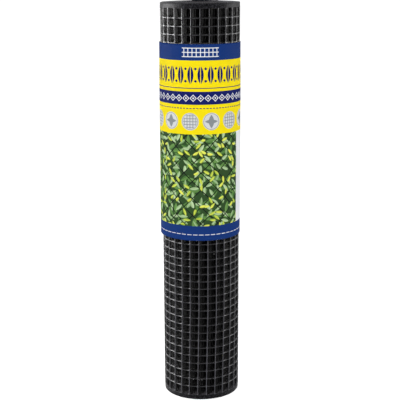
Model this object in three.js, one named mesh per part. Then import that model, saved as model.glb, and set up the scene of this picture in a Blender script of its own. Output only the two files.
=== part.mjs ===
// A roll of black extruded plastic netting, standing on one end, with a paper sleeve glued round its middle.
// Sizes are in mm. The roll stands on z = 0 with its axis on x = y = 0, and its front faces -Y.
import * as THREE from "three";

const TURN = 2 * Math.PI;
const degrees = THREE.MathUtils.degToRad;

// The net: one length of it, wound up on itself from the bore outwards.
const net = {
  width: 610, // edge to edge, so this is also the height of each turn
  length: 4572,
  edgeBand: 8, // solid strip along both edges
  lengthwiseStrand: 1.4, // height of a strand that runs round the roll
  crosswiseStrand: 1.8, // width of a strand that stands upright on the roll
};

// The wound form. The roll is drawn in under the sleeve and is a little slack at its upper end. Its outer radii are
// those at the loose end, and the spiral falls inwards from there by one turn's thickness in each turn.
const roll = {
  boreRadius: 25.5,
  lowRadius: 60.1,
  waistRadius: 60.3,
  highRadius: 60.9,
  looseEnd: degrees(172.5), // where the outermost turn stops, measured from the front towards +X
};

// The sleeve: a strip of paper with one end glued over the other.
const sleeve = {
  bottom: 258,
  top: 552,
  innerRadius: 60.7,
  thickness: 1,
  drift: -1.2, // how far its lower edge hangs off centre, along X
  lapStart: degrees(112),
  lapEnd: degrees(128),
  lapRise: degrees(14), // the stretch over which the upper end climbs onto the lower one
};

// The cells of the outermost turn, at about one and a half times the pitch of the real net.
const cells = { columns: 18, rowsBelow: 13, rowsAbove: 3 };
const facetsInColumn = 3; // one of strand and two of cell

// The turns have slid along each other: turns further in than `turn`, counted from outside, stand `rise` higher.
const slid = [
  { turn: 3, rise: 1 },
  { turn: 13, rise: 2 },
];

const shoulder = 3; // height over which the roll widens again above the sleeve
const sleeveGap = 1; // height kept clear of cells at both edges of the sleeve
const turns = net.length / (Math.PI * (roll.lowRadius + roll.boreRadius));

// Outer radius of the roll at a height, from a short table.
const outline = [
  { z: 0, radius: roll.lowRadius },
  { z: sleeve.bottom, radius: roll.lowRadius },
  { z: sleeve.top + sleeveGap, radius: roll.waistRadius },
  { z: sleeve.top + sleeveGap + shoulder, radius: roll.highRadius },
  { z: net.width, radius: roll.highRadius },
];

function outerRadius(z) {
  const next = Math.max(1, outline.findIndex((row) => row.z >= z));
  const [low, high] = [outline[next - 1], outline[next]];
  return THREE.MathUtils.mapLinear(z, low.z, high.z, low.radius, high.radius);
}

// Radius of the spiral at a height, `count` turns in from the outside.
function spiralRadius(z, count) {
  const radius = outerRadius(z);
  return radius - (count * (radius - roll.boreRadius)) / turns;
}

const place = (angle, radius, z) => [radius * Math.sin(angle), -radius * Math.cos(angle), z];

// A closed surface that is built up ring by ring. A ring is a list of vertex numbers round the axis, and its last
// vertex may lie on the same ray as its first one, which leaves a step there.
class Surface {
  constructor() {
    this.points = [];
    this.faces = [];
  }

  add(point) {
    return this.points.push(point) - 1;
  }

  ring(points) {
    return points.map((point) => this.add(point));
  }

  quad(a, b, c, d) {
    this.faces.push(a, b, c, a, c, d);
  }

  // Wall from one ring to the next, which has as many vertices.
  wall(from, to) {
    from.forEach((vertex, k) => {
      const after = (k + 1) % from.length;
      this.quad(vertex, from[after], to[after], to[k]);
    });
  }

  // Flat end between two rings at one height. It faces up when the first ring is the outer one.
  end(from, to) {
    const flat = (ring) => ring.map((vertex) => new THREE.Vector2(...this.points[vertex]));
    const outerFirst = flat(from)[0].length() > flat(to)[0].length();
    const [outer, inner] = outerFirst ? [from, to] : [to, from];
    const corners = [...outer, ...inner];
    for (const face of THREE.ShapeUtils.triangulateShape(flat(outer), [flat(inner)])) {
      const [a, b, c] = face.map((k) => new THREE.Vector2(...this.points[corners[k]]));
      const facesUp = b.sub(a).cross(c.sub(a)) > 0;
      const order = facesUp === outerFirst ? [0, 1, 2] : [0, 2, 1];
      this.faces.push(...order.map((k) => corners[face[k]]));
    }
  }

  geometry() {
    const made = new THREE.BufferGeometry();
    made.setAttribute("position", new THREE.Float32BufferAttribute(this.points.flat(), 3));
    made.setIndex(this.faces);
    made.computeVertexNormals();
    return made;
  }
}

// Angles round the roll from the loose end on: the facets of each column, then one more strand that closes the turn.
function columnAngles() {
  const pitch = TURN / cells.columns;
  const strand = net.crosswiseStrand / roll.lowRadius;
  const list = [];
  for (let column = 0; column < cells.columns; column++) {
    const start = column * pitch;
    list.push({ angle: start, open: false });
    list.push({ angle: start + strand, open: true });
    list.push({ angle: start + (strand + pitch) / 2, open: true });
  }
  list.push({ angle: TURN - strand, open: false });
  list.push({ angle: TURN, open: false });
  return list;
}

// Heights of the strands and cells between two limits.
function rowHeights(bottom, top, count) {
  const pitch = (top - bottom + net.lengthwiseStrand) / count;
  return Array.from({ length: count }, (_, row) => [
    { z: bottom + row * pitch, open: true },
    { z: bottom + (row + 1) * pitch - net.lengthwiseStrand, open: false },
  ]).flat();
}

function netRoll() {
  const surface = new Surface();
  const columns = columnAngles();
  const rows = [
    { z: 0, open: false },
    ...rowHeights(net.edgeBand, sleeve.bottom - sleeveGap, cells.rowsBelow),
    { z: sleeve.top + sleeveGap, open: false },
    ...rowHeights(sleeve.top + sleeveGap + shoulder, net.width - net.edgeBand, cells.rowsAbove),
    { z: net.width, open: false },
  ];
  const last = columns.length - 1;
  const isCell = (row, column) => rows[row].open && columns[column].open;

  // Vertices are made when first asked for. Depth 0 is on the outermost turn and depth 1 on the turn behind it.
  const made = new Map();
  const vertex = (row, column, depth) => {
    const name = [row, column, depth].join();
    if (!made.has(name)) {
      const { angle } = columns[column];
      const radius = spiralRadius(rows[row].z, angle / TURN + depth);
      made.set(name, surface.add(place(roll.looseEnd + angle, radius, rows[row].z)));
    }
    return made.get(name);
  };

  for (let row = 0; row < rows.length - 1; row++) {
    for (let column = 0; column < last; column++) {
      const depth = isCell(row, column) ? 1 : 0;
      const corner = (up, along, level = depth) => vertex(row + up, column + along, level);
      surface.quad(corner(0, 0), corner(0, 1), corner(1, 1), corner(1, 0));
      if (!depth) continue;
      // Sides of the cell, each only where strand or band is next to it.
      if (!isCell(row, column - 1)) surface.quad(corner(0, 0, 0), corner(0, 0, 1), corner(1, 0, 1), corner(1, 0, 0));
      if (!isCell(row, column + 1)) surface.quad(corner(0, 1, 1), corner(0, 1, 0), corner(1, 1, 0), corner(1, 1, 1));
      surface.quad(corner(0, 0, 0), corner(0, 1, 0), corner(0, 1, 1), corner(0, 0, 1));
      surface.quad(corner(1, 0, 1), corner(1, 1, 1), corner(1, 1, 0), corner(1, 0, 0));
    }
    // The loose end of the net, one turn thick.
    surface.quad(vertex(row, 0, 0), vertex(row + 1, 0, 0), vertex(row + 1, last, 0), vertex(row, last, 0));
  }

  // Both ends of the roll and its bore: spirals stepped by how far the turns have slid.
  const rim = (row) => columns.map((_, column) => vertex(row, column, 0));
  const spiral = (z, count, lift) =>
    surface.ring(
      columns.map(({ angle }) => place(roll.looseEnd + angle, spiralRadius(z, count + angle / TURN), z + lift)),
    );
  const profile = (z) => {
    const rings = [];
    let lift = 0;
    for (const { turn, rise } of slid) {
      rings.push(spiral(z, turn, lift), spiral(z, turn, rise));
      lift = rise;
    }
    rings.push(spiral(z, turns - 1, lift));
    return rings;
  };
  const top = [rim(rows.length - 1), ...profile(net.width)];
  const bottom = [...profile(0).reverse(), rim(0)];
  for (const rings of [top, bottom]) {
    const height = (ring) => surface.points[ring[0]][2];
    rings.slice(1).forEach((ring, k) => {
      if (height(ring) === height(rings[k])) surface.end(rings[k], ring);
      else surface.wall(rings[k], ring);
    });
  }
  surface.wall(top.at(-1), bottom[0]);
  return surface.geometry();
}

function labelSleeve() {
  const surface = new Surface();
  const facets = cells.columns * facetsInColumn;
  const around = Array.from({ length: facets }, (_, k) => sleeve.lapEnd + (k * TURN) / facets);
  around.push(sleeve.lapEnd + TURN);
  const climb = sleeve.lapStart - sleeve.lapRise;

  // The lap adds one thickness where the strip lies double, and drops away at its glued edge.
  const lift = (angle) => sleeve.thickness * THREE.MathUtils.smoothstep(angle - TURN, climb, sleeve.lapStart);
  const ring = (height, radiusAt) =>
    surface.ring(
      around.map((angle) => {
        const [x, y, z] = place(angle, radiusAt(angle), THREE.MathUtils.lerp(sleeve.bottom, sleeve.top, height));
        return [x + sleeve.drift * (1 - height), y, z];
      }),
    );
  const outside = (angle) => sleeve.innerRadius + sleeve.thickness + lift(angle);
  const inside = (angle) => sleeve.innerRadius;
  const rings = [ring(0, outside), ring(1, outside), ring(1, inside), ring(0, inside)];
  surface.wall(rings[0], rings[1]);
  surface.end(rings[1], rings[2]);
  surface.wall(rings[2], rings[3]);
  surface.end(rings[3], rings[0]);
  return surface.geometry();
}

function piece(name, geometry, colour, roughness) {
  const material = new THREE.MeshStandardMaterial({ color: colour, roughness, metalness: 0, flatShading: true });
  const mesh = new THREE.Mesh(geometry, material);
  mesh.name = name;
  return mesh;
}

const part = new THREE.Group();
part.add(piece("net_roll", netRoll(), 0x17181a, 0.42));
part.add(piece("label_sleeve", labelSleeve(), 0xf2dc14, 0.38));

export default part;
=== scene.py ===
# %% [markdown]
# # A roll of plastic netting, standing on end
#
# The real thing is one long strip of extruded black netting, wound up on itself, with a sleeve of printed
# paper that keeps it closed. The cells are what everybody sees first. A texture of squares on a cylinder
# would look flat at the sides of the roll, where one looks into the cells, so every strand of every turn is
# modelled here.
#
# The solids of the CAD model give the place and the size. The pieces made here replace them.

# %% Load the frame
import math

import bpy
import numpy as np
from mathutils import Matrix, Vector


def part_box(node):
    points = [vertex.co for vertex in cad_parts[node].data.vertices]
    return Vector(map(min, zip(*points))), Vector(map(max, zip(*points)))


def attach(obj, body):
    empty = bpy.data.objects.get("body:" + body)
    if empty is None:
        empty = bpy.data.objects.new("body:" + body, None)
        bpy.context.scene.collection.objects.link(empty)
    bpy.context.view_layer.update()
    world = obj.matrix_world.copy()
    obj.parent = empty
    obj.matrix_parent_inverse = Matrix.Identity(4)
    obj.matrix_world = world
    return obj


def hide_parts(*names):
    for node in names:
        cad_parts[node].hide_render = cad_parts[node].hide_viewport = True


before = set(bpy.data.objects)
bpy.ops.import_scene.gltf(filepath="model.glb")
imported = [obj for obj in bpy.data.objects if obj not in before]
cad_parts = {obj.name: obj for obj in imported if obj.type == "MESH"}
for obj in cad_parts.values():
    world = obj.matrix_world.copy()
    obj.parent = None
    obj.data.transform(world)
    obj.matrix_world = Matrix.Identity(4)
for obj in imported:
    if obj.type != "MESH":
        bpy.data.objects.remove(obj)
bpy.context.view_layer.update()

MM = 0.001
TURN = 2 * math.pi

# %% [markdown]
# ## Camera
#
# The picture shows the roll from about a metre and a half away, with the camera a little above its top. Four
# things give such a camera: how much the rings of strands curve at the top and at the foot, how the cells
# shrink towards the foot, the width of the roll and the height of its base in the picture. The lens axis
# meets the picture one pixel to the right of its middle, and a small shift takes that up without turning the
# camera.

# %% Camera
IMAGE = 400  # the picture is this many pixels each way
FILM = 36.0  # width of Blender's film, in mm
FOCAL = 1044.0  # in pixels
LENS_AXIS = (201.1, 200.0)  # in pixels from the picture's upper left corner
EYE = (0.0, -1.584, 0.667)
TILT = math.radians(12.8)
ROLL = math.radians(-0.24)


def add_camera():
    """Camera at EYE, looking along +Y and TILT downwards, with its lens axis at LENS_AXIS."""
    data = bpy.data.cameras.new("camera")
    data.sensor_width = FILM
    data.lens = FOCAL / IMAGE * FILM
    data.shift_x = 0.5 - LENS_AXIS[0] / IMAGE
    data.shift_y = LENS_AXIS[1] / IMAGE - 0.5
    data.clip_end = 100
    camera = bpy.data.objects.new("camera", data)
    level = Matrix.Rotation(math.pi / 2 - TILT, 4, "X")
    camera.matrix_world = Matrix.Translation(EYE) @ level @ Matrix.Rotation(ROLL, 4, "Z")
    bpy.context.collection.objects.link(camera)
    bpy.context.scene.camera = camera
    print(f"camera: {data.lens:.1f} mm lens, shift {data.shift_x:.4f}, {data.shift_y:.4f}")


add_camera()

# %% [markdown]
# ## The net, laid flat
#
# Netting of this kind comes out of the extruder as two sets of strands fused where they cross, with a solid
# band along each edge. On the roll the strands that stand upright lie outside the ones that run round it, so
# they are the ones that catch the light.
#
# It helps to build the net flat first, in three lengths: `u` along the net from its loose end, `v` across it
# from its lower edge, and `w` out of it. A second step then winds the flat net up. Every size here is in
# metres.

# %% Sizes of the net
NET_WIDTH = 610 * MM  # two feet, which is also the height of the roll
NET_LENGTH = 4572 * MM  # fifteen feet
COLUMNS = 342  # cells in the whole length
PITCH_U = NET_LENGTH / COLUMNS
PITCH_V = 12.03 * MM
RING_STRANDS = 48  # strands that run round the roll
FIRST_RING = (NET_WIDTH - (RING_STRANDS - 1) * PITCH_V) / 2
BAND = 8.0 * MM  # height of the solid band along each edge

UPRIGHT = {"half": 0.86 * MM, "front": 1.05 * MM, "back": -0.45 * MM}
RING = {"half": 0.66 * MM, "front": 0.36 * MM, "back": -0.82 * MM}
CORNER = 1.6 * MM  # rounding of the cells' corners
BAND_HALF = 0.75 * MM  # half of the band's thickness
JOIN = 0.8 * MM  # how far inside the band the cells' mesh begins
print(f"cells are {PITCH_U / MM:.2f} by {PITCH_V / MM:.2f} mm, first ring at {FIRST_RING / MM:.2f} mm")

# %% [markdown]
# A cell is made as a few loops of points round its hole. The outermost loop runs along the middles of the
# strands round the cell, on the front of the net. The next one lies down the side of the strands, the third
# is the hole's own edge, and then they go back out again behind the net. Between each loop and the next lies
# a strip of faces, so a strand becomes a rounded bar, and its neighbour's loops complete it on the other
# side.
#
# The points of a loop come from a small table. `side_u` and `side_v` say towards which strands a point lies,
# and `arc` goes from 0 on the upright side of a rounded corner to 1 on the level side.

# %% Loops of a cell
LOOP_FINE = np.array(
    # side_u, side_v, arc
    [(-1, -1, 0), (-1, -1, 0.5), (-1, -1, 1), (0, -1, 1), (1, -1, 1), (1, -1, 0.5), (1, -1, 0)]
    + [(1, 1, 0), (1, 1, 0.5), (1, 1, 1), (0, 1, 1), (-1, 1, 1), (-1, 1, 0.5), (-1, 1, 0)]
)
LOOP_PLAIN = np.array([(-1, -1, 0.5), (0, -1, 1), (1, -1, 0.5), (1, 1, 0.5), (0, 1, 1), (-1, 1, 0.5)])

# Each detail has its loop, its corner rounding, how far down the strands' sides its loops lie, from 0 on
# their middles to 1 at the hole and negative past it, and how far inside a band's edge the band's own lines
# lie, as shares of its height.
FINE = {"loop": LOOP_FINE, "corner": CORNER, "down": [0, 0.6, 1, -0.6, 0], "band": [0.55, 0.08]}
MIDDLE = {"loop": LOOP_FINE, "corner": CORNER, "down": [0, 1, 0], "band": [0.08]}
PLAIN = {"loop": LOOP_PLAIN, "corner": 0.0, "down": [0, 1, 0], "band": [0.06]}


def row_limits():
    """Lower and upper limit of every row of cells, at the middles of its strands or just inside a band."""
    rings = FIRST_RING + PITCH_V * np.arange(RING_STRANDS)
    low = np.concatenate([[BAND - JOIN], rings])
    high = np.concatenate([rings, [NET_WIDTH - BAND + JOIN]])
    return low, high


def cell_loops(columns, detail):
    """Points (loop, column, row, point, uvw) of the loops round every cell.

    The hole is a rectangle with rounded corners: its half width less the corner radius, plus that radius
    times the cosine of the angle along the corner, and the same upwards with the sine. A loop lies a share
    `down` of the way from the strands' middles to the hole, and its height follows a quarter of an ellipse.
    """
    side_u, side_v, arc = detail["loop"].T
    low, high = row_limits()
    rows = np.arange(len(low))
    at_band = np.where(side_v < 0, rows[:, None] == 0, rows[:, None] == len(low) - 1)

    radius, angle = detail["corner"], arc * math.pi / 2
    hole_u = side_u * (PITCH_U / 2 - UPRIGHT["half"] - radius * (1 - np.cos(angle)))
    border_v = np.where(side_v < 0, low[:, None], high[:, None])
    inset = np.where(at_band, JOIN, RING["half"])
    hole_v = border_v - side_v * (inset + radius * (1 - np.sin(angle)))
    border_u = np.where(arc < 0.75, side_u * PITCH_U / 2, hole_u)
    border_v = np.where(arc > 0.25, border_v, hole_v)

    def height(face, band):
        """Height of the strands' middles or of the band, and that of the higher strand where two cross."""
        level = np.where(at_band, band, RING[face])
        crossing = max(UPRIGHT[face], RING[face], key=abs)
        return np.where(arc < 0.25, UPRIGHT[face], np.where(arc > 0.75, level, crossing))

    front, back = height("front", BAND_HALF), height("back", -BAND_HALF)
    edge = (front + back) / 2
    middle = (columns + 0.5) * PITCH_U
    loops = []
    passed_hole = False
    for down in detail["down"]:
        passed_hole = passed_hole or down == 1
        share = abs(down)
        u = middle[:, None, None] + border_u + share * (hole_u - border_u)
        v = border_v + share * (hole_v - border_v)
        w = edge + ((back if passed_hole else front) - edge) * math.sqrt(1 - share**2)
        loops.append(np.stack(np.broadcast_arrays(u, v, w), axis=-1))
    return np.stack(loops)


def strips(points, closed):
    """Quads between neighbouring lines of points, from an array (line, ..., point, uvw).

    Quad k of a strip takes points k and k + 1 of one line and the same two of the next line.
    """
    after = np.roll(points, -1, axis=-2) if closed else points[..., 1:, :]
    here = points if closed else points[..., :-1, :]
    quads = np.stack([here[:-1], after[:-1], after[1:], here[1:]], axis=-2)
    return quads.reshape(-1, 4, 3)


flat_cell = cell_loops(np.arange(1), FINE)
print("one fine cell column has", len(strips(flat_cell, True)), "quads in its", flat_cell.shape[2], "rows")

# %% [markdown]
# The band along each edge is a flat strip with eased corners. It begins on the same points as the nearest row
# of cells, so that the two join without a seam. The lines of points run from the front of the band round its
# outer edge to its back.

# %% Bands and ends
def along(loops, row, towards):
    """The border points of one row that lie towards a band (-1 below, 1 above), as one line along the net."""
    points = loops[:, row]
    line = points[:, np.argsort(points[0, :, 0], kind="stable")]
    at_limit = np.isclose(line[0, :, 1], (line[0, :, 1].min, line[0, :, 1].max)[towards > 0]())
    line = line[:, at_limit]
    return np.concatenate([line[:, :-1].reshape(-1, 3), line[-1:, -1]])


def band_lines(loops, detail, towards):
    """Lines (line, point, uvw) across a band, from the front border of the cells round to the back border."""
    row = 0 if towards < 0 else -1
    front, back = along(loops[0], row, towards), along(loops[-1], row, towards)
    inwards = [share * BAND for share in detail["band"]] + [0.0]
    halves = [BAND_HALF] * len(detail["band"]) + [BAND_HALF / 2]
    edge_v = 0.0 if towards < 0 else NET_WIDTH
    count = len(front)

    def line(inward, w):
        v = edge_v - towards * inward
        return np.stack([front[:, 0], np.full(count, v), np.full(count, w)], axis=1)

    down = [line(inward, half) for inward, half in zip(inwards, halves)]
    back_up = [line(inward, -half) for inward, half in zip(inwards[::-1], halves[::-1])]
    return np.stack([front, *down, *back_up, back])


def end_chain(loops, bands, column, side):
    """Front and back line of points up the net at one end of a column, from edge to edge."""
    chains = []
    for face, loop in ((0, loops[0]), (-1, loops[-1])):
        points = loop[column]
        limit = points[0, :, 0].min() if side < 0 else points[0, :, 0].max()
        keep = np.isclose(points[0, :, 0], limit)
        rows = points[:, keep]
        order = np.argsort(rows[0, :, 1], kind="stable")
        rows = rows[:, order]
        middle = np.concatenate([rows[:, :-1].reshape(-1, 3), rows[-1:, -1]])
        half = bands[0].shape[0] // 2
        place = 0 if side < 0 else -1
        lower, upper = ((b[1:half, place], b[half:-1, place][::-1])[face] for b in bands)
        chains.append(np.concatenate([lower[::-1], middle, upper]))
    return chains


def rounded_end(front, back, side):
    """Faces that finish the outer half of the last upright strand, from its front line to its back line."""
    out = np.array([side * UPRIGHT["half"], 0.0, 0.0])
    fullness = 0.6  # 0 would make a sharp edge, and 1 a square one
    middle = (front + back) / 2
    outer = [middle + fullness * (line - middle) + out for line in (front, back)]
    lines = np.stack([front, *outer, back][:: 1 if side < 0 else -1])
    return np.concatenate([strips(lines, False), lines[None, :, 0], lines[None, ::-1, -1]])


def bars(sections, start, end):
    """Straight bars along u with an eight-sided section each, given as (bar, point, vw), with flat ends."""
    ends = [np.insert(sections, 0, u[:, None], axis=2) for u in (start, end)]
    sides = strips(np.stack(ends), True)
    flat = [(0, 1, 2, 7), (2, 3, 6, 7), (3, 4, 5, 6)]
    caps = [ends[0][:, list(quad[::-1])] for quad in flat] + [ends[1][:, list(quad)] for quad in flat]
    return np.concatenate([sides, *caps])


# %% [markdown]
# Where the net was cut off its stock, the strands that run along it stick out a few millimetres past the last
# upright strand, and so do the two bands. These stubs are short bars, each a little longer or shorter than
# the next.

# %% Cut ends
STUB = 4.5 * MM
STUB_SPREAD = 0.8 * MM


def stubs(u_end, side):
    """Bars for the cut ends of all level strands and both bands, at one end of the net."""
    turn = np.arange(8) * TURN / 8
    ring_v = FIRST_RING + PITCH_V * np.arange(RING_STRANDS)
    centre, half = (RING["front"] + RING["back"]) / 2, (RING["front"] - RING["back"]) / 2
    ring = np.stack([RING["half"] * np.cos(turn), centre + half * np.sin(turn)], axis=1)
    rings = ring[None] + np.stack([ring_v, 0 * ring_v], axis=1)[:, None]
    eased = [(0, 0.5), (0.08, 1), (0.92, 1), (1, 0.5), (1, -0.5), (0.92, -1), (0.08, -1), (0, -0.5)]
    band = np.array(eased)[::-1] * [BAND, BAND_HALF]
    sections = np.concatenate([rings, [band, band + [NET_WIDTH - BAND, 0]]])
    uneven = np.sin(2.4 * np.arange(len(sections)) ** 1.5)  # a row of numbers from -1 to 1 without a rhythm
    inside = np.full(len(sections), u_end - side * UPRIGHT["half"] / 2)
    outside = u_end + side * (STUB + STUB_SPREAD * uneven)
    return bars(sections, *np.sort([inside, outside], axis=0))


def flat_net(first, last, detail):
    """Quads (quad, corner, uvw) of the flat net from one column to another, closed all round."""
    loops = cell_loops(np.arange(first, last), detail)
    lower, upper = band_lines(loops, detail, -1), band_lines(loops, detail, 1)
    quads = [strips(loops, True), strips(lower[::-1], False), strips(upper, False)]
    for column, side, real_end in ((0, -1, first == 0), (-1, 1, last == COLUMNS)):
        front, back = end_chain(loops, (lower, upper), column, side)
        if real_end:
            quads += [rounded_end(front, back, side), stubs(front[0, 0], side)]
        else:
            quads.append(strips(np.stack([front, back] if side < 0 else [back, front]), False))
    return np.concatenate(quads)


# %% [markdown]
# ## Winding the net up
#
# A wound strip follows a spiral: each turn lies one thickness inside the last. If R is the radius at the
# loose end and t the thickness of a turn, then the length of strip that an angle a has used up is
# `u = R a - t a^2 / (4 pi)`. Solved for a, this says where each point of the flat net comes to lie.
#
# A real roll is less even than that. This one is a little wider at its upper end, its strands lean by a few
# degrees, its cells have been pulled taller at some heights than at others, and its turns have slid along
# each other, so that the inner ones stand higher. These are small changes to the radius, the angle and the
# height, and they are functions of the place on the roll, so that neighbouring turns follow each other.
#
# A turn is nearly one cell shorter round than the turn outside it, so with even cells all the turns' columns
# would line up in a few directions and one would see right through the roll. In the inner turns the upright
# strands are therefore as much as about 4 mm off their even places, as they are in a net that was stretched
# here and there.

# %% The spiral
SLEEVE_LOW, SLEEVE_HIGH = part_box("label_sleeve")
SLEEVE_BOTTOM, SLEEVE_TOP = SLEEVE_LOW[2], SLEEVE_HIGH[2]

LOOSE_END = math.radians(172.5)  # where the net ends outside, from the front towards +X
BORE = 26.4 * MM  # to the middle of the innermost turn
OUTLINE_Z = [0, 60 * MM, 150 * MM, SLEEVE_BOTTOM, SLEEVE_TOP - 15 * MM, SLEEVE_TOP + 8 * MM, NET_WIDTH]
OUTLINE_R = np.array([59.9, 60.1, 60.4, 60.4, 60.3, 61.0, 61.1]) * MM  # outer radius at the loose end
RADIUS = OUTLINE_R[0] - UPRIGHT["front"]
TURNS = NET_LENGTH / (math.pi * (RADIUS + BORE))
THICKNESS = (RADIUS - BORE) / TURNS

# How far the turns have slid upwards, by the number of turns wound since the loose end.
SLID_TURN = [0, 0.28, 0.78, 2.6, 3.4, 12.6, 13.4, TURNS - 0.5, TURNS]
SLID_RISE = np.array([0, 0, 0.5, 0.6, 1.0, 1.2, 2.0, 2.1, 3.6]) * MM
# How far the rings stand off an even pitch, by their height.
PULLED_Z = np.array([0, 22, 46, 76, 112, 148, 176, 203, 227, 262, 560, 590, 610]) * MM
PULLED_BY = np.array([0, -1.4, 0.4, 2.0, 2.9, 2.7, 1.7, 0.7, -0.2, -0.2, 1.1, 1.2, 0]) * MM
LEAN_Z = np.array([0, 145 * MM, SLEEVE_BOTTOM, SLEEVE_TOP - 20 * MM, NET_WIDTH])
LEAN_BY = np.radians([-2.9, 0.0, 0.2, 3.2, 3.4])  # how far the strands have moved round
GATHER = math.radians(1.2)  # how far they have closed up towards the front at the upper end
UNEVEN = 0.12 * MM  # how far a ring wanders up and down
RIPPLE = 0.25 * MM  # how far the roll is out of round

# How far the inner turns' columns are off their places, over which length of net, and where this begins.
STRETCHED = [(2.6 * MM, 97 * MM), (1.6 * MM, 37 * MM)]
STRETCHED_FROM, STRETCHED_FULLY = 1.0 * TURN * RADIUS, 1.3 * TURN * RADIUS

# The loose end stands off the roll where the sleeve doesn't hold it, some way below and above the sleeve.
FLARE, FLARE_LENGTH = 1.4 * MM, 70 * MM
FREE_BELOW, FREE_ABOVE = 90 * MM, 50 * MM


def smooth(x, low, high):
    """0 below low and 1 above high, with an even start and stop between them."""
    t = np.clip((x - low) / (high - low), 0, 1)
    return t * t * (3 - 2 * t)


def wave(angle, z):
    """A shallow ripple of the radius that the whole roll shares."""
    return RIPPLE * np.sin(2 * angle + 0.6) * np.sin(z / (140 * MM))


def wind(points):
    """Place on the roll of points (..., uvw) of the flat net.

    Angle = (R - sqrt(R^2 - t u / pi)) 2 pi / t, where u has first been stretched in the inner turns.
    Radius = outline(z) - share of the winding done times the wall, plus w.
    """
    u, v, w = np.moveaxis(points, -1, 0)
    inner = smooth(u, STRETCHED_FROM, STRETCHED_FULLY)
    u = u + inner * sum(reach * np.sin(u / length) for reach, length in STRETCHED)
    angle = (RADIUS - np.sqrt(RADIUS**2 - THICKNESS * u / math.pi)) * TURN / THICKNESS
    z = v + np.interp(angle / TURN, SLID_TURN, SLID_RISE) + np.interp(v, PULLED_Z, PULLED_BY)
    z = z + UNEVEN * np.sin(u / (31 * MM)) * np.sin(v / (47 * MM) + 1)
    outline = np.interp(z, OUTLINE_Z, OUTLINE_R) - UPRIGHT["front"]
    radius = outline - (outline - BORE) * angle / (TURN * TURNS) + w
    free = 1 - smooth(z, SLEEVE_BOTTOM - FREE_BELOW, SLEEVE_BOTTOM)
    free = free + smooth(z, SLEEVE_TOP, SLEEVE_TOP + FREE_ABOVE)
    radius = radius + FLARE * free * np.clip(1 - u / FLARE_LENGTH, 0, 1) ** 2
    round_it = LOOSE_END + angle
    gather = GATHER * smooth(z, SLEEVE_BOTTOM, SLEEVE_TOP) * np.sin(round_it)
    round_it = round_it + np.interp(z, LEAN_Z, LEAN_BY) - gather
    radius = radius + wave(round_it, z)
    return np.stack([radius * np.sin(round_it), -radius * np.cos(round_it), z], axis=-1)


print(f"{TURNS:.2f} turns of {THICKNESS / MM:.2f} mm")

# %% [markdown]
# The quads of the flat net share their corners in space but not yet in the mesh. Corners that lie within a
# thousandth of a millimetre of each other become one vertex, which closes the mesh and lets Blender shade it
# smoothly.

# %% Making a mesh
GRAIN = 0.001 * MM
END_FACE = 0.95  # a face whose normal points up or down by more than this share is an end face


def weld(quads):
    """(vertices, faces) from loose quads: each corner's place, in whole grains, is its vertex's key."""
    corners = quads.reshape(-1, 3)
    grains = np.round(corners / GRAIN).astype(np.int64)
    grains -= grains.min(axis=0)
    size = grains.max(axis=0) + 1
    key = (grains[:, 0] * size[1] + grains[:, 1]) * size[2] + grains[:, 2]
    _, first, vertex = np.unique(key, return_index=True, return_inverse=True)
    return corners[first], vertex.reshape(-1, 4)


def mesh_object(name, places, faces, maps, raised=None):
    """A mesh object at the origin from places and quads, with UV maps given as {name: (quad, corner, uv)}.

    It is shaded smoothly, apart from its end faces. `raised` is one number for each vertex.
    """
    mesh = bpy.data.meshes.new(name)
    mesh.vertices.add(len(places))
    mesh.vertices.foreach_set("co", places.astype(np.float32).ravel())
    mesh.loops.add(faces.size)
    mesh.loops.foreach_set("vertex_index", faces.astype(np.int32).ravel())
    mesh.polygons.add(len(faces))
    mesh.polygons.foreach_set("loop_start", np.arange(0, faces.size, 4, dtype=np.int32))
    a, b, c, d = places[faces].transpose(1, 0, 2)
    normal = np.cross(c - a, d - b)
    end_face = abs(normal[:, 2]) > END_FACE * np.linalg.norm(normal, axis=1)
    mesh.polygons.foreach_set("use_smooth", ~end_face)
    for title, corners in maps.items():
        layer = mesh.uv_layers.new(name=title)
        layer.uv.foreach_set("vector", corners.astype(np.float32).ravel())
    if raised is not None:
        mesh.attributes.new("raised", "FLOAT", "POINT").data.foreach_set("value", raised.astype(np.float32))
    mesh.update()
    mesh.validate()
    made = bpy.data.objects.new(name, mesh)
    bpy.context.collection.objects.link(made)
    return made


# %% [markdown]
# The two outermost turns are seen close, so their strands are round and their cells have rounded corners. The
# next two turns show through those cells and are a little simpler. From the fifth turn on only slivers show,
# in shadow, and a plain four-sided strand is enough there. Each stretch of the net is one piece, named with
# its first column, the column after its last one, and its detail.

# %% The wound net
STRETCHES = [
    ("net_outer_turn", 0, 28, FINE),
    ("net_second_turn", 28, 55, FINE),
    ("net_third_and_fourth_turns", 55, 107, MIDDLE),
    ("net_inner_turns", 107, 220, PLAIN),
    ("net_innermost_turns", 220, COLUMNS, PLAIN),
]


def skin_area(places, faces):
    """Sum of the quads' areas, each half the length of the cross product of its diagonals."""
    a, b, c, d = places[faces].transpose(1, 0, 2)
    return float(np.linalg.norm(np.cross(c - a, d - b), axis=1).sum() / 2)


def bake_map(flat, faces):
    """The flat net, with its front in the upper half of the map and its back in the lower half."""
    margin = 0.005
    corners = flat[faces]
    start, end = flat[:, 0].min(), flat[:, 0].max()
    middle = (UPRIGHT["front"] + UPRIGHT["back"]) / 2
    front = corners[:, :, 2].mean(axis=1, keepdims=True) > middle
    across = corners[:, :, 1] / NET_WIDTH * (0.5 - 2 * margin) + np.where(front, 0.5 + margin, margin)
    return np.stack([(corners[:, :, 0] - start) / (end - start), across], axis=-1)


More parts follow.
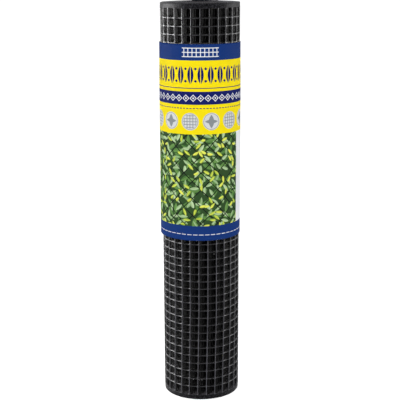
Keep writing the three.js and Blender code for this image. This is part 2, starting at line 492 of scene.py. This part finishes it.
net_pieces = []
for name, first, last, detail in STRETCHES:
    flat, faces = weld(flat_net(first, last, detail))
    places = wind(flat)
    raised = flat[:, 2] / UPRIGHT["front"]
    piece = mesh_object(name, places, faces, {"OFBake": bake_map(flat, faces)}, raised)
    # The faces of the bands take the second material.
    from_middle = abs(flat[faces][:, :, 1].mean(axis=1) - NET_WIDTH / 2)
    on_band = from_middle > NET_WIDTH / 2 - BAND
    piece.data.polygons.foreach_set("material_index", on_band.astype(np.int32))
    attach(piece, "root")
    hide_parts("net_roll")
    # One side of the strands, laid flat: the cells are open, so it is much less than width times length.
    plastic = skin_area(flat, faces) / 2
    net_pieces.append(piece)
    print(f"{name}: {2 * len(faces)} triangles, {plastic:.3f} square metres of plastic")

# %% [markdown]
# ## The paper sleeve
#
# One strip of varnished printed paper runs once round the roll, and its end is glued down over its start. It
# isn't a perfect tube: near the top it is tight, follows the step that the net's loose end makes at the back,
# and shows the strands below it as faint ridges. Further down it is loose, stands off the net and waves a
# little.
#
# The shape is one function of the angle along the strip and the height. A grid of points on it gives the
# outer side; the inner side is the same grid, one paper's thickness further in.

# %% Shape of the sleeve
SLEEVE_RADIUS = 61.35 * MM  # of its inner side, where the net doesn't push it out
TIGHTER = 0.5 * MM  # how much narrower it is at its upper edge
PAPER = 0.25 * MM
LAP_START, LAP_END = math.radians(112), math.radians(128)
LAP_RISE = math.radians(14)  # angle over which the strip climbs onto its own start
DRIFT = np.array([-1.25, -0.95]) * MM  # how far it hangs over to the left, at its lower and its upper edge
SLEEVE_HEIGHT = SLEEVE_TOP - SLEEVE_BOTTOM
STRIP_ANGLE = TURN + LAP_END - LAP_START
CLEAR = 0.1 * MM  # between the net and the paper where they touch
EASE = 0.5 * MM  # how gently the paper goes from its own circle onto the net
SLACK = 0.3 * MM  # height of its waves at the lower edge
RIDGE = 0.16 * MM  # height of the ridges over the upright strands
LAP_AIR = 0.06 * MM  # glue between the two layers of the lap
CURL, CURL_ANGLE = 0.25 * MM, math.radians(2.5)  # how far the glued end curls up, and over which angle

# Soft dents: angle in degrees, share of the height, half width in degrees, half height in mm, depth in mm.
DENTS = [(-38, 0.07, 9, 16, 0.5), (22, 0.10, 13, 12, 0.45), (-68, 0.3, 5, 34, 0.35), (74, 0.22, 8, 26, 0.4)]
DENTS += [(150, 0.12, 12, 20, 0.6), (205, 0.3, 9, 40, 0.5), (255, 0.08, 10, 14, 0.5), (128, 0.6, 6, 30, 0.3)]


def net_outside(angle, z):
    """Radius of the net's outer side: its outline, less what the spiral has fallen since the loose end."""
    turned = (angle - LOOSE_END) % TURN
    outline = np.interp(z, OUTLINE_Z, OUTLINE_R)
    return outline - (outline - UPRIGHT["front"] - BORE) * turned / (TURN * TURNS) + wave(angle, z)


def sleeve_radius(along_angle, z):
    """Outer radius of the strip: the larger of its own circle and the net's, plus ridges, dents and lap.

    The larger of two numbers a and b, eased over a distance e, is (a + b + sqrt((a - b)^2 + e^2)) / 2.
    """
    share = (z - SLEEVE_BOTTOM) / SLEEVE_HEIGHT
    drift = np.interp(share, [0, 1], DRIFT) * np.sin(along_angle)
    own = SLEEVE_RADIUS - TIGHTER * smooth(share, 0.7, 1) + drift
    own = own + SLACK * np.sin(3 * along_angle + 1) * (1 - smooth(share, 0, 0.3))
    net = net_outside(along_angle, z) + CLEAR
    radius = (own + net + np.sqrt((own - net) ** 2 + EASE**2)) / 2 + PAPER

    turned = (along_angle - LOOSE_END) % TURN
    strand = (RADIUS * turned - THICKNESS * turned**2 / (2 * TURN)) / PITCH_U
    ridge = 1 - np.sqrt(np.sin(math.pi * strand) ** 2 + 0.04)  # the small number rounds its crest
    radius = radius + RIDGE * ridge * smooth(share, 0.45, 0.95)
    for centre, height, half_angle, half_height, depth in DENTS:
        off = (along_angle - math.radians(centre) + math.pi) % TURN - math.pi
        off_up = (share - height) * SLEEVE_HEIGHT
        away = (off / math.radians(half_angle)) ** 2 + (off_up / (half_height * MM)) ** 2
        radius = radius - depth * MM * np.exp(-away)

    lap = smooth(along_angle, LAP_START + TURN - LAP_RISE, LAP_START + TURN)
    curl = np.clip((along_angle - LAP_END - TURN) / CURL_ANGLE + 1, 0, 1) ** 2
    return radius + (PAPER + LAP_AIR) * lap + CURL * curl


def sleeve_points(angles, heights, inwards):
    """Grid (angle, height, xyz) on the sleeve, `inwards` below its outer side."""
    a, z = np.meshgrid(angles, heights, indexing="ij")
    radius = sleeve_radius(a, z) - inwards
    return np.stack([radius * np.sin(a), -radius * np.cos(a), z], axis=-1)


# %% [markdown]
# The print needs a map of its own: `u` is the way round the roll from the middle of the front, and `v` the
# height above the lower edge, both in metres, so that every motif can be drawn at its real size. A second
# map, which holds all sides next to each other, is for baking the finish.

# %% The sleeve
STEPS_ROUND, STEPS_UP = 420, 76


def grid_quads(grid):
    """Quads (n, 4, ...) of a grid (i, j, ...), in the order i j, i+1 j, i+1 j+1, i j+1."""
    quads = np.stack([grid[:-1, :-1], grid[1:, :-1], grid[1:, 1:], grid[:-1, 1:]], axis=2)
    return quads.reshape(-1, 4, grid.shape[-1])


def make_sleeve():
    """Outer side, inner side and the four cut edges, welded to one closed piece."""
    angles = np.linspace(LAP_START, LAP_START + STRIP_ANGLE, STEPS_ROUND + 1)
    heights = np.linspace(SLEEVE_BOTTOM, SLEEVE_TOP, STEPS_UP + 1)
    outer, inner = sleeve_points(angles, heights, 0.0), sleeve_points(angles, heights, PAPER)
    a, z = np.meshgrid(angles, heights, indexing="ij")
    paper = np.stack([(a - TURN) * SLEEVE_RADIUS, z - SLEEVE_BOTTOM], axis=-1)
    unit = np.stack([(a - LAP_START) / STRIP_ANGLE, (z - SLEEVE_BOTTOM) / SLEEVE_HEIGHT], axis=-1)
    sides = [
        (outer, unit * [1, 0.84] + [0, 0.16], paper),
        (inner[::-1], unit[::-1] * [1, 0.1] + [0, 0.01], paper[::-1]),
    ]
    # The four cut edges, each two points wide: the lower and the upper one, and the strip's start and end.
    rim = np.array([[0.0, 0.0], [0.0, 0.004]])
    whole = slice(None)
    edges = [((whole, 0), 1), ((whole, -1), -1), ((0, whole), -1), ((-1, whole), 1)]
    for number, (index, order) in enumerate(edges):
        pair = np.stack([inner[index], outer[index]][::order], axis=1)
        length = unit[index] if index[0] == whole else unit[index][:, ::-1]
        strip = length[:, None] * [1, 0] + rim + [0, 0.12 + 0.01 * number]
        sides.append((pair, strip, np.stack([paper[index]] * 2, axis=1)))
    quads = np.concatenate([grid_quads(points) for points, _, _ in sides])
    bake = np.concatenate([grid_quads(strip) for _, strip, _ in sides])
    print_map = np.concatenate([grid_quads(m) for _, _, m in sides])
    places, faces = weld(quads)
    piece = mesh_object("paper_sleeve", places, faces, {"print": print_map, "OFBake": bake})
    bare = np.ones(len(faces), np.int32)
    bare[: STEPS_ROUND * STEPS_UP] = 0
    piece.data.polygons.foreach_set("material_index", bare)
    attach(piece, "root")
    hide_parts("label_sleeve")
    return piece


sleeve = make_sleeve()

# %% [markdown]
# ## Black plastic
#
# The net is polyethylene with soot in it: nearly black all through, and a little glossy. What one sees of it
# is therefore mostly reflection. Extruded strands carry fine streaks and a faint ripple, so the gloss breaks
# up into short glints. Both come from noise on Object coordinates, one stretched along the upright strands.
#
# The strands that stand out furthest carry a painted highlight: there the black is mixed towards grey.
# Each vertex knows how far it stands out of the net, as `raised`, from 1 on the crest of an upright strand
# down to -1. The shader turns the painted highlight on along that number, and noise makes it patchy. The
# level strands, with their crests at 0.34, get some too, and above the sleeve as much as the upright ones.
#
# The bands along the edges were pressed flat by a roller. They are duller, scuffed in small patches and
# pitted all over, so they have a material of their own. Their outer edges are painted lighter, as a painted
# highlight, and seen from above they show the turns of the winding.

# %% Shader helpers
def linear(red, green, blue):
    """Linear colour from the usual 0 to 255 values, by the sRGB curve."""
    srgb = np.array([red, green, blue]) / 255
    return (*np.where(srgb <= 0.04045, srgb / 12.92, ((srgb + 0.055) / 1.055) ** 2.4), 1.0)


def new_material(name):
    """A material with one Principled shader, and its node tree."""
    material = bpy.data.materials.new(name)
    material.use_nodes = True
    tree = material.node_tree
    shader = tree.nodes["Principled BSDF"]
    return material, tree, shader


def add_node(tree, kind, inputs=(), **settings):
    """A node with its settings, and with inputs given as {socket: value or wire}."""
    node = tree.nodes.new(kind)
    for key, value in settings.items():
        setattr(node, key, value)
    for key, value in dict(inputs).items():
        socket = node.inputs[key]
        if isinstance(value, bpy.types.NodeSocket):
            tree.links.new(value, socket)
        else:
            socket.default_value = value
    return node


def noise(tree, where, scale, detail=3.0, stretch=(1, 1, 1)):
    """Noise from 0 to 1 at `where`, with features about 1 / scale in size, and longer by `stretch`."""
    if stretch != (1, 1, 1):
        shrink = tuple(1 / s for s in stretch)
        where = add_node(tree, "ShaderNodeMapping", {"Vector": where, "Scale": shrink}).outputs[0]
    inputs = {"Vector": where, "Scale": scale, "Detail": detail}
    return add_node(tree, "ShaderNodeTexNoise", inputs).outputs["Fac"]


def remap(tree, value, low, high, to_low, to_high):
    """`value` from low..high to to_low..to_high, and no further."""
    inputs = {"Value": value, "From Min": low, "From Max": high, "To Min": to_low, "To Max": to_high}
    return add_node(tree, "ShaderNodeMapRange", inputs).outputs[0]


def math_node(tree, operation, *values):
    """Result of one Math node."""
    return add_node(tree, "ShaderNodeMath", dict(enumerate(values)), operation=operation).outputs[0]


def mixed(tree, factor, first, second):
    """Colour that is the first one where the factor is 0, and the second one where it is 1."""
    return add_node(tree, "ShaderNodeMix", {0: factor, 6: first, 7: second}, data_type="RGBA").outputs[2]


def add_bump(tree, shader, height, strength, depth):
    """Small heights on a surface, `depth` metres for each unit of `height`."""
    bump = add_node(tree, "ShaderNodeBump", {"Strength": strength, "Distance": depth, "Height": height})
    tree.links.new(bump.outputs[0], shader.inputs["Normal"])


# %% The net's material
MOST = (0.3, 0.7)  # most of the noise lies between these
STREAKS, RIPPLES, PATCHES, SCUFFS, PITS = 1600.0, 420.0, 45.0, 520.0, 900.0  # scales of noise, in 1 / metre
CREST = (0.84, 1.0)  # where the painted highlight begins, and where it is complete, on the scale of `raised`
UPRIGHT_HIGHLIGHT = (0.95, 0.4)  # how strong it is on the upright strands, up to the top of the sleeve and above it
RING_HIGHLIGHT = 0.4  # and on the level strands


def black_plastic(name, black, crest_highlight, rough, specular):
    """Soot-black polyethylene with a painted grey highlight on its crests: uneven gloss, streaks, a fine
    ripple.
    """
    material, tree, shader = new_material(name)
    place = add_node(tree, "ShaderNodeTexCoord").outputs["Object"]
    raised = add_node(tree, "ShaderNodeAttribute", attribute_name="raised").outputs["Fac"]
    streaks = noise(tree, place, STREAKS, 2.0, (1, 1, 14))
    ripples = noise(tree, place, RIPPLES, 3.0)
    patches = noise(tree, place, PATCHES, 4.0)

    height = add_node(tree, "ShaderNodeSeparateXYZ", {0: place}).outputs[2]
    strength = remap(tree, height, SLEEVE_TOP, SLEEVE_TOP + 10 * MM, *UPRIGHT_HIGHLIGHT)
    # Painted highlight: on the crests the black is mixed towards a lighter grey. It is weaker above the
    # sleeve and made patchy by noise.
    upright = math_node(tree, "MULTIPLY", remap(tree, raised, *CREST, 0.0, 1.0), strength)
    ring = math_node(tree, "COMPARE", raised, RING["front"] / UPRIGHT["front"], 0.06)
    crest = math_node(tree, "MULTIPLY_ADD", ring, RING_HIGHLIGHT, upright)
    painted_highlight = math_node(tree, "MULTIPLY", crest, remap(tree, patches, *MOST, 0.55, 1.0))
    tree.links.new(mixed(tree, painted_highlight, linear(*black), linear(*crest_highlight)), shader.inputs["Base Color"])
    tree.links.new(remap(tree, patches, *MOST, *rough), shader.inputs["Roughness"])

    fine = add_node(tree, "ShaderNodeMix", {0: 0.5, 2: streaks, 3: ripples}).outputs[0]
    add_bump(tree, shader, fine, 0.35, 0.1 * MM)
    shader.inputs["Specular IOR Level"].default_value = specular
    return material


def pressed_plastic():
    """Band plastic: black with grey scuffs, dull and pitted, with a painted highlight along its outer edge.
    """
    material, tree, shader = new_material("polyethylene_pressed")
    place = add_node(tree, "ShaderNodeTexCoord").outputs["Object"]
    raised = add_node(tree, "ShaderNodeAttribute", attribute_name="raised").outputs["Fac"]
    scuffs = noise(tree, place, SCUFFS, 3.0)
    pits = noise(tree, place, PITS, 2.0)

    scuffed = remap(tree, scuffs, 0.45, 0.7, 0.0, 1.0)
    colour = mixed(tree, scuffed, linear(4, 4, 5), linear(50, 50, 55))
    # `raised` is 0.71 on a band's faces, above and below zero, and less than 0.36 on its outer edge.
    # Painted highlight: the outer edge of the band, at the top and foot of each turn, is made a lighter grey.
    edge_highlight = remap(tree, math_node(tree, "ABSOLUTE", raised), 0.32, 0.46, 1.0, 0.0)
    colour = mixed(tree, edge_highlight, colour, linear(88, 86, 90))
    tree.links.new(colour, shader.inputs["Base Color"])
    tree.links.new(remap(tree, scuffs, *MOST, 0.4, 0.55), shader.inputs["Roughness"])
    add_bump(tree, shader, pits, 0.5, 0.2 * MM)
    shader.inputs["Specular IOR Level"].default_value = 0.05
    return material


# The outer turn has the lit copy of the plastic. The inner turns have a darker, less glossy copy: painted
# shade where the outer turns keep the light off them.
lit_plastic = black_plastic("polyethylene_outer_lit", (10, 10, 11), (98, 98, 108), (0.25, 0.35), 0.3)
shaded_plastic = black_plastic("polyethylene_inner_shaded", (3, 3, 3), (8, 8, 8), (0.38, 0.48), 0.12)
pressed = pressed_plastic()
for number, piece in enumerate(net_pieces):
    piece.data.materials.append(lit_plastic if number == 0 else shaded_plastic)
    piece.data.materials.append(pressed)
print("net material has", len(lit_plastic.node_tree.nodes), "nodes")

# %% [markdown]
# ## The print
#
# The sleeve is printed in flat bands of blue and yellow round a wide field of leaves. The motifs are plain
# ones: a piece of net, upright leaves, diamonds, round medallions, and leaves on a slanting trellis. Each is
# a short formula in `u` and `v`, the distances round and up the paper in millimetres. A shader has Math nodes
# for that, but a chain of them is hard to read, so a small class lets Python's own signs add the nodes.

# %% Drawing with numbers
class Drawn:
    """A number at each point of the paper. Python's signs on such numbers add Math nodes to the material."""

    def __init__(self, tree, socket):
        self.tree, self.socket = tree, socket

    def math(self, operation, *others):
        values = [other.socket if isinstance(other, Drawn) else other for other in others]
        return Drawn(self.tree, math_node(self.tree, operation, self.socket, *values))

    def __add__(self, other):
        return self.math("ADD", other)

    def __sub__(self, other):
        return self.math("SUBTRACT", other)

    def __mul__(self, other):
        return self.math("MULTIPLY", other)

    def __lt__(self, other):
        return self.math("LESS_THAN", other)

    def __gt__(self, other):
        return self.math("GREATER_THAN", other)

    def __abs__(self):
        return self.math("ABSOLUTE")

    def repeated(self, pitch, start=0.0):
        """The distance from the nearest of the places start, start + pitch, and so on."""
        return (self - start).math("WRAP", pitch / 2, -pitch / 2)

    def near(self, centre, reach):
        """1 within `reach` of `centre`, otherwise 0."""
        return self.math("COMPARE", centre, reach)


def painted(tree, below, mask, colour):
    """`colour` where the mask is 1, and what is below elsewhere."""
    return mixed(tree, mask.socket if isinstance(mask, Drawn) else mask, below, colour)


def leaf_shape(x, y, half_length, half_width):
    """A pointed oval along x: |y| is less than the half width times 1 - (x / half length)^2."""
    return abs(y) + x * x * (half_width / half_length**2) < half_width


# %% [markdown]
# Leaves that lie at random come from Voronoi cells. Each cell gives its centre and a random colour. Turned
# about that centre by a random angle, every cell draws the same leaf, cut off where the next cell begins, as
# leaves overlap. Three such layers with smaller and lighter leaves on top make a hedge, with a trellis of
# slanting bars among them.

# %% Leaves
LEAF = (0.62, 0.2)  # half the length and half the width of a leaf, in cells
VEIN = 0.018  # half the width of its middle vein


def leaf_layer(tree, place, size, offset, below, dark, light, share):
    """Leaves `size` mm long, from `dark` to `light`, in the given share of the cells."""
    mapping = {"Vector": place, "Location": offset, "Scale": (1 / size,) * 3}
    moved = add_node(tree, "ShaderNodeMapping", mapping).outputs[0]
    inputs = {"Vector": moved, "Scale": 1.0}
    cells = add_node(tree, "ShaderNodeTexVoronoi", inputs, voronoi_dimensions="2D").outputs
    chance = add_node(tree, "ShaderNodeSeparateColor", {0: cells["Color"]}).outputs
    angle = Drawn(tree, chance[0]) * TURN
    centre = cells["Position"]
    inputs = {"Vector": moved, "Center": centre, "Angle": angle.socket}
    turned = add_node(tree, "ShaderNodeVectorRotate", inputs, rotation_type="Z_AXIS").outputs[0]
    local = add_node(tree, "ShaderNodeVectorMath", {0: turned, 1: centre}, operation="SUBTRACT").outputs[0]
    axes = add_node(tree, "ShaderNodeSeparateXYZ", {0: local}).outputs
    x, y = Drawn(tree, axes[0]), Drawn(tree, axes[1])
    leaf = leaf_shape(x, y, *LEAF) * (Drawn(tree, chance[1]) < share)
    tone = Drawn(tree, chance[2]) * 0.7 + (y > 0) * 0.3
    green = painted(tree, linear(*dark), tone, linear(*light))
    green = painted(tree, green, abs(y) < VEIN, linear(*light))
    return painted(tree, below, leaf, green)


def hedge(tree, place, u, v):
    """The leaf field: dark ground, two layers of leaves, the trellis, and the lightest leaves before it."""
    field = leaf_layer(tree, place, 15.0, (0, 0, 0), linear(44, 72, 36), (50, 94, 42), (106, 150, 76), 1.0)
    field = leaf_layer(tree, place, 12.0, (3.3, 7.1, 0), field, (96, 140, 74), (186, 210, 164), 0.85)
    pitch, half_bar = 26.0, 1.0
    rising, falling = (way.repeated(pitch).near(0.0, half_bar) for way in (u - v, u + v))
    field = painted(tree, field, (falling + rising) > 0.5, linear(14, 15, 16))
    return leaf_layer(tree, place, 10.0, (9.7, 2.9, 0), field, (140, 174, 50), (232, 234, 96), 0.42)


# %% [markdown]
# The bands go all the way round. The field of leaves stops on both sides of a plain white panel at the back,
# where the strip is glued. Along its edges the varnish has rubbed off here and there, and the white paper
# shows.
#
# All sizes on the paper are in mm. The varnish is a thin and dull one. A low index of refraction keeps the
# lights at the sides from lying over the blue as a pale haze.

# %% Printed paper
BLUE, DEEP_BLUE, YELLOW = linear(8, 47, 112), linear(6, 20, 92), linear(240, 218, 2)
WHITE, GREY = linear(226, 228, 232), linear(132, 138, 142)

FOOT_TOP = 22.5  # heights on the paper of the bands' upper edges, in mm
FIELD_TOP = 162.0
MEDALLIONS_TOP = 206.0
STRIP_TOP = 225.2
LEAVES_TOP = 270.5
PAPER_TOP = SLEEVE_HEIGHT / MM
FIELD_LEFT, FIELD_RIGHT = (math.radians(a) * SLEEVE_RADIUS / MM for a in (-150, 61))
RUBS, MOTTLE, GLOSS, WAVES, FIBRES = 0.35, 1.3, 0.08, 0.05, 2.2  # scales of noise on the paper, in 1 / mm


def head_band(tree, colour, u, v):
    """Blue, with a piece of net in thin white lines in the middle of the front."""
    cell, thin, middle = 6.2, 0.6, (LEAVES_TOP + PAPER_TOP) / 2
    colour = painted(tree, colour, v > LEAVES_TOP, BLUE)
    lines = (u.repeated(cell).near(0.0, thin) + v.repeated(cell, middle).near(0.0, thin)) > 0.5
    inside = u.near(0.0, 4.5 * cell) * v.near(middle, cell + thin)
    return painted(tree, colour, lines * inside, WHITE)


def leaf_band(tree, colour, u, v):
    """Upright navy leaves on yellow, with dots between their tips and a thin rule below."""
    middle, pitch, tips, rule_at = 249.5, 15.0, 9.0, 230.2
    x, y = u.repeated(pitch), v - middle
    leaves = leaf_shape(y, x, 14.0, 4.6) * (abs(x) > 0.55)
    dots = (abs(u.repeated(pitch, pitch / 2)) + abs(abs(y) - tips)) < 2.4
    rule = v.near(rule_at, 0.6)
    return painted(tree, colour, (leaves + dots + rule) > 0.5, DEEP_BLUE)


def diamond_band(tree, colour, u, v):
    """A chain of white diamonds on deep blue."""
    middle, pitch, diamond, line, dot = (MEDALLIONS_TOP + STRIP_TOP) / 2, 11.0, 4.6, 0.75, 1.6
    colour = painted(tree, colour, v.near(middle, (STRIP_TOP - MEDALLIONS_TOP) / 2), DEEP_BLUE)
    spread = abs(u.repeated(pitch)) + abs(v - middle)
    return painted(tree, colour, spread.near(diamond, line) + (spread < dot), WHITE)


def medallion_band(tree, colour, u, v):
    """Pale medallions on yellow, by turns with a leaf and with a piece of net on them."""
    middle, pitch, radius = 181.0, 32.0, 13.0
    inside, ring, mesh, strand = 10.6, 11.7, 4.4, 0.5
    x, y = u.repeated(pitch, pitch / 2), v - middle
    distance = (x * x + y * y).math("SQRT")
    colour = painted(tree, colour, distance < radius, linear(206, 208, 210))
    net = (x.repeated(mesh).near(0.0, strand) + y.repeated(mesh).near(0.0, strand)) > 0.5
    leaves = leaf_shape(y, x, 10.0, 4.2) + leaf_shape(x, y, 10.0, 3.0)
    by_turns = abs(u.repeated(2 * pitch, pitch / 2)) < pitch / 2
    motif = (leaves * by_turns + net * (by_turns < 0.5)) * (distance < inside)
    colour = painted(tree, colour, motif > 0.5, GREY)
    colour = painted(tree, colour, distance.near(ring, 0.35), GREY)
    return painted(tree, colour, v.near(200.5, 0.7) * (u.repeated(5.0).near(0.0, 1.6)), DEEP_BLUE)


def foot_band(tree, colour, u, v):
    """Blue, with a dashed white line."""
    line_at, pitch, half_dash = 9.0, 9.0, 3.4
    colour = painted(tree, colour, v < FOOT_TOP, BLUE)
    return painted(tree, colour, v.near(line_at, 0.5) * u.repeated(pitch).near(0.0, half_dash), WHITE)


def printed_paper():
    """Varnished print: the bands in turn, a little ink mottle, rubbed edges and a soft uneven gloss."""
    material, tree, shader = new_material("varnished_print")
    metres = add_node(tree, "ShaderNodeUVMap", uv_map="print").outputs[0]
    to_mm = {0: metres, 1: (1 / MM,) * 3}
    place = add_node(tree, "ShaderNodeVectorMath", to_mm, operation="MULTIPLY").outputs[0]
    axes = add_node(tree, "ShaderNodeSeparateXYZ", {0: place}).outputs
    u, v = Drawn(tree, axes[0]), Drawn(tree, axes[1])

    field = hedge(tree, place, u, v)
    on_field = u.near((FIELD_LEFT + FIELD_RIGHT) / 2, (FIELD_RIGHT - FIELD_LEFT) / 2)
    colour = painted(tree, WHITE, on_field, field)
    colour = painted(tree, colour, v > FIELD_TOP, YELLOW)
    for band in (leaf_band, diamond_band, medallion_band, head_band, foot_band):
        colour = band(tree, colour, u, v)

    rub = remap(tree, noise(tree, place, RUBS, 4.0), 0.6, 0.8, 0.0, 0.7)
    from_edge = abs(v - PAPER_TOP / 2) * -1.0 + PAPER_TOP / 2
    colour = painted(tree, colour, from_edge < rub, WHITE)
    mottle = remap(tree, noise(tree, place, MOTTLE, 3.0), *MOST, 0.0, 0.05)
    colour = painted(tree, colour, mottle, linear(150, 150, 150))
    tree.links.new(colour, shader.inputs["Base Color"])

    rough = remap(tree, noise(tree, place, GLOSS, 4.0), *MOST, 0.40, 0.50)
    tree.links.new(rough, shader.inputs["Roughness"])
    shader.inputs["Specular IOR Level"].default_value = 0.015
    shader.inputs["IOR"].default_value = 1.2
    waves = noise(tree, place, WAVES, 2.0)
    fibres = noise(tree, place, FIBRES, 3.0)
    uneven = add_node(tree, "ShaderNodeMix", {0: 0.06, 2: waves, 3: fibres}).outputs[0]
    add_bump(tree, shader, uneven, 0.25, 0.6 * MM)
    print("the print is drawn by", len(tree.nodes), "nodes")
    return material


def bare_paper():
    """The unprinted side and the cut edges: white, matt, with a faint cloudy grain."""
    material, tree, shader = new_material("bare_paper")
    place = add_node(tree, "ShaderNodeTexCoord").outputs["Object"]
    cloud = remap(tree, noise(tree, place, 400.0, 4.0), *MOST, 0.0, 1.0)
    colour = mixed(tree, cloud, linear(214, 212, 206), linear(232, 231, 227))
    tree.links.new(colour, shader.inputs["Base Color"])
    shader.inputs["Roughness"].default_value = 0.75
    add_bump(tree, shader, cloud, 0.2, 0.05 * MM)
    return material


sleeve.data.materials.append(printed_paper())
sleeve.data.materials.append(bare_paper())

# %% [markdown]
# ## Floor and light
#
# The picture has a pure white ground and shows almost no shadow, as in a studio with a lit white backdrop.
# The net's inner strands stay dark all the same: their plastic is a darker, less glossy copy, which is
# painted shade, and the light comes from behind the roll, from both sides and from the front above it, and
# little comes from the camera's own direction.
#
# The world is such a room: its brightness goes from `FRONT` before the roll to `BACK` behind it. The camera
# itself sees it as plain white. The floor glows faintly, as a lit table does, and keeps the ground white. One
# panel above the front lifts the raised strands and lights the print evenly. Two panels at the sides draw the
# pale lines along the strands. They show in gloss only, so they don't make the print brighter at the sides.

# %% Floor and light
FLOOR = 9.0  # width of the floor, in metres
FRONT, BACK, SEEN = 0.15, 1.1, 1.1  # brightness before and behind the roll, and as the camera sees it
GLOW = 0.5  # of the floor


def add_floor():
    """A pale square under the roll, FLOOR metres each way, that glows a little."""
    half = FLOOR / 2
    mesh = bpy.data.meshes.new("floor")
    corners = [(-half, -half, 0), (half, -half, 0), (half, half, 0), (-half, half, 0)]
    mesh.from_pydata(corners, [], [(0, 1, 2, 3)])
    floor = bpy.data.objects.new("floor", mesh)
    bpy.context.collection.objects.link(floor)
    material, _, shader = new_material("pale_floor")
    shader.inputs["Base Color"].default_value = (0.93, 0.93, 0.93, 1)
    shader.inputs["Roughness"].default_value = 0.7
    shader.inputs["Emission Color"].default_value = (1, 1, 1, 1)
    shader.inputs["Emission Strength"].default_value = GLOW
    mesh.materials.append(material)


def add_panel(name, place, size, power, gloss_only=False):
    """A square panel of light at `place`, facing the middle of the roll."""
    data = bpy.data.lights.new(name, "AREA")
    data.size = size
    data.energy = power
    panel = bpy.data.objects.new(name, data)
    towards = Vector((0, 0, NET_WIDTH / 2)) - Vector(place)
    panel.matrix_world = Matrix.Translation(place) @ towards.to_track_quat("-Z", "Y").to_matrix().to_4x4()
    panel.visible_diffuse = not gloss_only
    bpy.context.collection.objects.link(panel)


def add_world():
    """White from all round: FRONT from before the roll, BACK from behind it, and SEEN for the camera."""
    world = bpy.data.worlds.new("white_room")
    world.use_nodes = True
    tree = world.node_tree
    background = tree.nodes["Background"]
    direction = add_node(tree, "ShaderNodeTexCoord").outputs["Generated"]
    axes = add_node(tree, "ShaderNodeSeparateXYZ", {0: direction}).outputs
    light = remap(tree, axes[1], -0.2, 0.5, FRONT, BACK)
    camera = add_node(tree, "ShaderNodeLightPath").outputs["Is Camera Ray"]
    strength = add_node(tree, "ShaderNodeMix", {0: camera, 2: light, 3: SEEN}).outputs[0]
    background.inputs["Color"].default_value = (1, 1, 1, 1)
    tree.links.new(strength, background.inputs["Strength"])
    bpy.context.scene.world = world


add_world()
add_floor()
add_panel("front_panel", (0.0, -1.5, 2.4), 1.4, 43)
add_panel("left_panel", (-2.0, 0.2, 0.6), 1.8, 320, gloss_only=True)
add_panel("right_panel", (2.0, 0.4, 0.6), 1.3, 70, gloss_only=True)
bpy.context.scene.view_settings.view_transform = "Standard"
